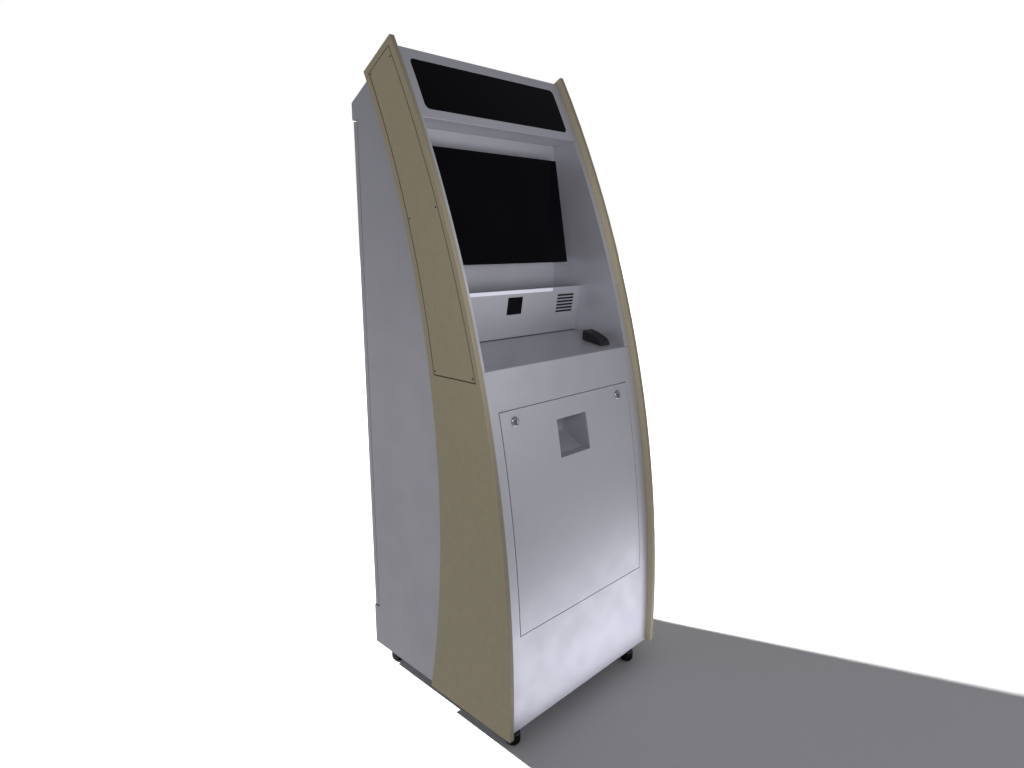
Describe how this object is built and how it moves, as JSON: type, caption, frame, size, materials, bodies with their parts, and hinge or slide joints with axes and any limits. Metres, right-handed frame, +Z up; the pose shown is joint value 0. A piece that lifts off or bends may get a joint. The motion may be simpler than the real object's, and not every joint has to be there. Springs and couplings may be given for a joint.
{
  "type": "self checkout kiosk",
  "caption": "Free-standing self checkout kiosk: curved sheet-metal cabinet between crescent side boards, screen recess, card reader shelf, hinged service doors and levelling feet.",
  "frame": {"origin": "on the floor under the middle of the kiosk's bounding box", "axes": "front faces -Y, +X to the customer's right, +Z up"},
  "size_m": [0.65, 0.6269, 1.8214],
  "materials": {
    "side_board": "satin tan decor board",
    "cabinet_paint": "fine powder coat, light grey",
    "inner_steel": "galvanised",
    "display_glass": "black display glass",
    "dark_acrylic": "polished smoked acrylic",
    "lamp_diffuser": "milky diffuser",
    "reader_plastic": "fine moulded texture",
    "module_plastic": "moulded or painted dark grey",
    "lock_chrome": "polished",
    "hinge_steel": "satin",
    "paper": "thermal paper",
    "foot_black": "smooth black"
  },
  "bodies": {
    "cabinet": {"left_side_board": "side_board", "left_insert_panel": "side_board", "right_side_board": "side_board", "right_insert_panel": "side_board", "left_side_panel": "cabinet_paint", "right_side_panel": "cabinet_paint", "base_plate": "cabinet_paint", "top_cover": "cabinet_paint", "rear_top_panel": "cabinet_paint", "rear_bottom_panel": "cabinet_paint", "power_inlet": "module_plastic", "header_panel": "cabinet_paint", "header_window": "dark_acrylic", "header_light": "lamp_diffuser", "recess_back_panel": "cabinet_paint", "soffit_panel": "cabinet_paint", "left_cheek": "cabinet_paint", "right_cheek": "cabinet_paint", "scanner_panel": "cabinet_paint", "scanner_window": "dark_acrylic", "light_bar": "lamp_diffuser", "barcode_scanner": "module_plastic", "left_speaker": "module_plastic", "right_speaker": "module_plastic", "monitor_glass": "display_glass", "monitor_housing": "module_plastic", "monitor_bracket": "inner_steel", "shelf_panel": "cabinet_paint", "card_reader": "reader_plastic", "front_panel": "cabinet_paint", "front_hinge_left": "hinge_steel", "front_hinge_right": "hinge_steel", "rear_hinge_lower_fixed_leaf": "hinge_steel", "rear_hinge_upper_fixed_leaf": "hinge_steel", "equipment_shelf": "inner_steel", "receipt_printer": "module_plastic", "computer": "module_plastic", "power_supply": "module_plastic"},
    "front_door": {"front_door": "cabinet_paint", "receipt_pocket": "cabinet_paint", "front_lock_left_barrel": "lock_chrome", "front_lock_right_barrel": "lock_chrome"},
    "front_lock_left": {"front_lock_left_plug": "lock_chrome"},
    "front_lock_right": {"front_lock_right_plug": "lock_chrome"},
    "rear_door": {"rear_door": "cabinet_paint", "rear_hinge_lower_door_leaf": "hinge_steel", "rear_hinge_upper_door_leaf": "hinge_steel", "rear_lock_barrel": "lock_chrome", "fan_frame": "module_plastic"},
    "rear_lock": {"rear_lock_plug": "lock_chrome"},
    "fan_impeller": {"fan_impeller": "module_plastic"},
    "paper_roll": {"paper_roll": "paper"},
    "printer_head_lever": {"printer_head_lever": "module_plastic"},
    "foot_front_left": {"foot_front_left": "foot_black"},
    "foot_front_right": {"foot_front_right": "foot_black"},
    "foot_rear_left": {"foot_rear_left": "foot_black"},
    "foot_rear_right": {"foot_rear_right": "foot_black"}
  },
  "joints": [
    {"name": "front_door_hinge", "type": "hinge", "parent": "cabinet", "child": "front_door", "pos_m": [0, -0.2822, 0.343], "axis": [1, 0, 0], "range_deg": [0, 90]},
    {"name": "front_lock_left_turn", "type": "hinge", "parent": "front_door", "child": "front_lock_left", "pos_m": [-0.215, -0.22055, 0.88], "axis": [0, -0.9785, 0.2063], "range_deg": [0, 90]},
    {"name": "front_lock_right_turn", "type": "hinge", "parent": "front_door", "child": "front_lock_right", "pos_m": [0.215, -0.22055, 0.88], "axis": [0, 0.9785, -0.2063], "range_deg": [0, 90]},
    {"name": "rear_door_hinge", "type": "hinge", "parent": "cabinet", "child": "rear_door", "pos_m": [0.315, 0.2885, 0.9], "axis": [0, 0, -1], "range_deg": [0, 110]},
    {"name": "rear_lock_turn", "type": "hinge", "parent": "rear_door", "child": "rear_lock", "pos_m": [-0.268, 0.3065, 1], "axis": [0, 1, 0], "range_deg": [0, 90]},
    {"name": "fan_spin", "type": "hinge", "parent": "rear_door", "child": "fan_impeller", "pos_m": [0, 0.2915, 1.5], "axis": [0, 1, 0], "continuous": true},
    {"name": "paper_roll_spin", "type": "hinge", "parent": "cabinet", "child": "paper_roll", "pos_m": [0, -0.0175, 0.962], "axis": [1, 0, 0], "continuous": true},
    {"name": "printer_head_lever_lift", "type": "hinge", "parent": "cabinet", "child": "printer_head_lever", "pos_m": [0.062, -0.1135, 0.922], "axis": [-1, 0, 0], "range_deg": [0, 60]},
    {"name": "foot_front_left_height", "type": "slide", "parent": "cabinet", "child": "foot_front_left", "axis": [0, 0, -1], "range_m": [0, 0.02]},
    {"name": "foot_front_right_height", "type": "slide", "parent": "cabinet", "child": "foot_front_right", "axis": [0, 0, -1], "range_m": [0, 0.02]},
    {"name": "foot_rear_left_height", "type": "slide", "parent": "cabinet", "child": "foot_rear_left", "axis": [0, 0, -1], "range_m": [0, 0.02]},
    {"name": "foot_rear_right_height", "type": "slide", "parent": "cabinet", "child": "foot_rear_right", "axis": [0, 0, -1], "range_m": [0, 0.02]}
  ]
}
